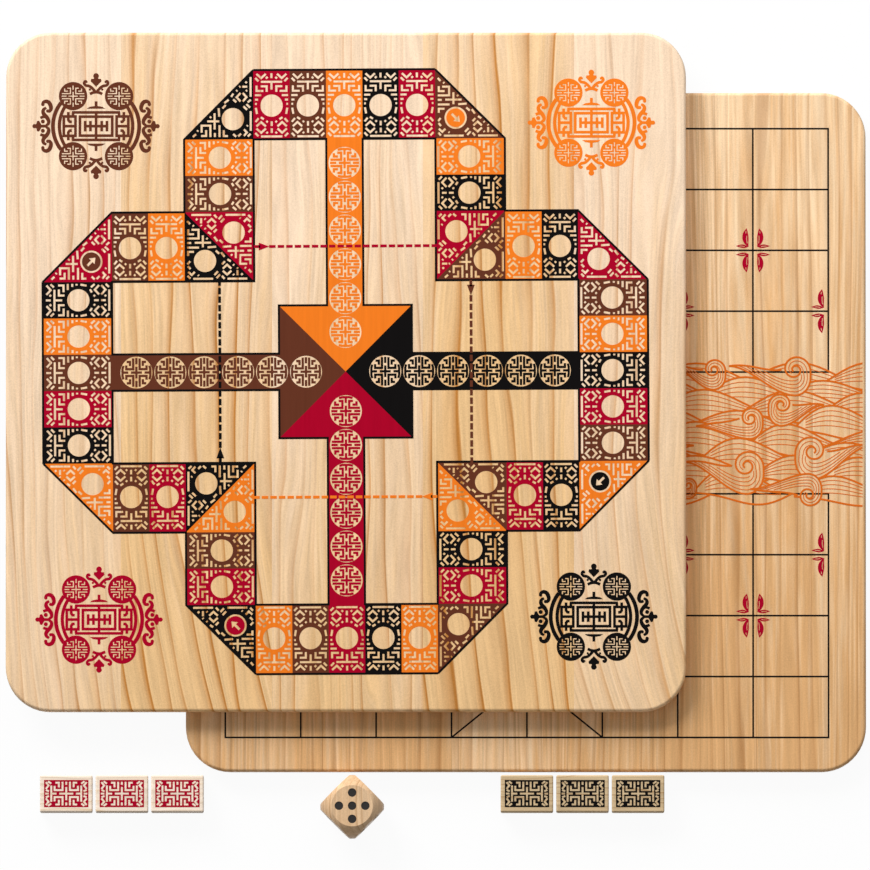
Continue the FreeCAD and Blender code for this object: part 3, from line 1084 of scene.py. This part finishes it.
def breaker(x, y, radius, hand, flip, tail, rise):
    """A wave whose long back runs down into a bowl and up into a spiral crest, as layers.

    The spiral is centred on x and y, hand is 1 for a crest on the right and -1 for one on the left, and
    flip is -1 for a wave that rolls over its hump. The back starts a tail's length beside the centre and
    a rise above it. FINE_RUNS says for each fine line how many gaps it is set in, at what share of the
    back it starts and at what angle of the spiral it ends.
    """
    foot = -FOOT * radius

    def slope(u):
        """The height of the back, from the foot at 0 to its start at 1."""
        return foot + (rise - foot) * u * u * (3 - 2 * u)

    def back(inset, start):
        """The back from a share of its length down to the foot, set in by a distance."""
        shares = [start * (1 - i / BACK_STEPS) for i in range(BACK_STEPS + 1)]
        return [(-tail * u, slope(u) + inset * (1 - BACK_FAN * u)) for u in shares]

    def spiral(inset, end):
        """The spiral from the foot to an angle, set in by a distance: a bowl, then ever tighter coils."""
        run = []
        for angle in range(SPIRAL_START, end, SPIRAL_STEP):
            turn = (angle + 90) / 360
            bowl = BOWL * (1 + math.cos(4 * math.pi * min(turn, SIDE_TURN)))
            reach = 1.0 + bowl - LAST_COIL * max(0, turn - 1)
            reach = (reach - FIRST_COIL * max(0, min(turn, 1) - SIDE_TURN)) * radius - inset
            run.append((reach * math.cos(math.radians(angle)), reach * math.sin(math.radians(angle))))
        return run

    def placed(lines):
        """The lines with the wave's hand and flip, moved to its place."""
        return [[(x + hand * u, y + flip * v) for u, v in line] for line in lines]

    side = TOP_START * radius / tail
    shares = [side + (1 - side) * i / TOP_STEPS for i in range(TOP_STEPS + 1)]
    sink = [slope(side) * max(0, (1 - u) / (1 - side)) ** CREST_POWER for u in shares]
    top = [(-tail * u, slope(u) - depth) for u, depth in zip(shares, sink)]
    body = back(0, 1) + spiral(0, BODY_END) + top[:-1]
    bold = [back(0, 1) + spiral(0, SPIRAL_END), top]
    fine = [back(FINE_GAP * radius * k, start) + spiral(FINE_GAP * radius * k, end)
            for k, start, end in FINE_RUNS]
    return bare(placed([body])) + inked(strokes(placed(fine), FINE)) + inked(strokes(placed(bold), BOLD))


# %% The river's band of waves
SEED = 7
SWELL_ROWS, FIRST_ROW, ROW_STEP = 8, 25.5, 8.2
SWELL_COLUMNS, SWELL_STEP = range(-4, 5), 45.5
SIDE_PLAY, ROW_PLAY = 6, 1.2
SWELL_LENGTHS, SWELL_HEIGHTS, SWELL_LEANS = (50, 68), (9.5, 12.5), (0.8, 1.0, 1.25)
BREAKER_SETS, BREAKER_STEP = range(-4, 1), 91.0
# Each breaker of a set: x, y, radius, hand, flip, tail and rise.
BREAKERS = [
    (131, 14.5, 6.6, -1, 1, 22, 0), (96, 32.5, 6.2, 1, 1, 22, 2), (138, 32.5, 8.0, 1, 1, 34, 2),
    (115, 7.5, 6.4, 1, 1, 28, -4), (147, -9.5, 8.8, -1, 1, 30, 3), (113, -17.0, 8.8, 1, 1, 32, 2),
    (145, -32.0, 6.6, 1, -1, 30, -3), (83, -27.0, 4.2, 1, 1, 20, 1),
]
WAVE_EDGE = 172.8
PAST_LEFT, PAST_RIGHT, PAST_BAND = 500, 300, 70


def waves():
    """A band of swells from the far side to the near one, with sets of breakers along it."""
    draw = random.Random(SEED)
    layers = []
    for row in range(SWELL_ROWS):
        y = FIRST_ROW - row * ROW_STEP
        for k in SWELL_COLUMNS:
            x = (k + 0.5 * (row % 2)) * SWELL_STEP + draw.uniform(-SIDE_PLAY, SIDE_PLAY)
            layers += swell(x, y + draw.uniform(-ROW_PLAY, ROW_PLAY), draw.uniform(*SWELL_LENGTHS),
                            draw.uniform(*SWELL_HEIGHTS), draw.choice(SWELL_LEANS))
    for number in BREAKER_SETS:
        for x, *shape in BREAKERS:
            layers += breaker(x + number * BREAKER_STEP, *shape)
    margins = [rectangle(WAVE_EDGE, -PAST_BAND, PAST_RIGHT, PAST_BAND),
               rectangle(-PAST_LEFT, -PAST_BAND, -WAVE_EDGE, PAST_BAND)]
    return press("waves", layers + bare(margins), TOP_FILM)


# %% Print the river board
RIVER_SHIFT = (0.5, -0.5)
river_place = (river_x + RIVER_SHIFT[0], river_y + RIVER_SHIFT[1], 0)
for colour, motif in (("black", grid()), ("red", marked_points()), ("amber", waves())):
    stamped = stamp(motif, [river_place], colour, river_top)
    print_piece(f"river_print_{colour}", [stamped], colour, "river_board")


# %% [markdown]
# ## The tiles
# Each block carries one rectangular print, the same design in red or in black: a cross with barred
# ends between four square spirals, with chevrons in the corners. Again only a quarter is written, and
# one pressed design serves all six blocks.

# %% Print the tiles
TILE_PRINT = (11.4, 7.0)
TILE_LINE = 1.0


def tile_design():
    """The tile's print, centred on the origin."""
    quarter = [
        [(-1.9, 6.1), (-1.9, 1.8), (-6.0, 1.8), (-6.0, 4.0)], [(-5.6, 5.6), (-3.8, 5.6), (-3.8, 3.2)],
        [(-10.5, 5.9), (-9.1, 4.2), (-10.5, 2.4)], [(-9.4, 6.3), (-7.7, 5.1)],
        [(-10.5, 1.9), (-8.9, 1.2)],
    ]
    half = [[(-10.8, 0), (-9.0, 0)], [(-7.7, -4.2), (-7.7, 4.2)], [(-7.7, 0), (-5.0, 0)]]
    upper = [[(0, 4.5), (0, 6.1)]]
    middle = [[(-3.6, 0), (3.6, 0)], [(0, -3.4), (0, 3.4)]]
    lines = mirrored(quarter, along=True) + mirrored(half)
    lines += mirrored(upper, across=False, along=True) + middle
    field = rectangle(-TILE_PRINT[0], -TILE_PRINT[1], *TILE_PRINT)
    return press("tile_design", inked([field]) + bare(strokes(lines, TILE_LINE)), COLOUR_FILM)


design = tile_design()
for tile in TILES:
    x, y, top = top_face(tile)
    colour = tile.split("_")[0]
    print_piece(f"{tile}_print", [stamp(design, [(x, y, 0)], colour, top)], colour, tile)

# %% [markdown]
# ## Pips
# The pips of the die are drilled, and a drop of black paint fills the bottom of each. The CAD frame
# has the drops as a node of their own, so they only need a finish.

# %% Pips
PAINT_GRIT = 0.8 * MM
PAINT_ROUGHNESS, PAINT_SHEEN = 0.4, 0.3
# Dropped-in paint: nearly black and a little cloudy, with more shine than the wood round it.
pip_paint, tree = new_material("pip_paint_black")
place = add(tree, "ShaderNodeTexCoord").outputs["Object"]
grit = noise(tree, place, PAINT_GRIT, 2.0)
tone = add(tree, "ShaderNodeValToRGB", {0: grit})
tone.color_ramp.elements[0].color = linear("#0F0D0C")
tone.color_ramp.elements[1].color = linear("#26211E")
surface = add(tree, "ShaderNodeBsdfPrincipled", {
    "Base Color": tone, "Roughness": PAINT_ROUGHNESS, "Specular IOR Level": PAINT_SHEEN})
add(tree, "ShaderNodeOutputMaterial", {"Surface": surface})
dress("die_pips", pip_paint)
print("painted the pips")
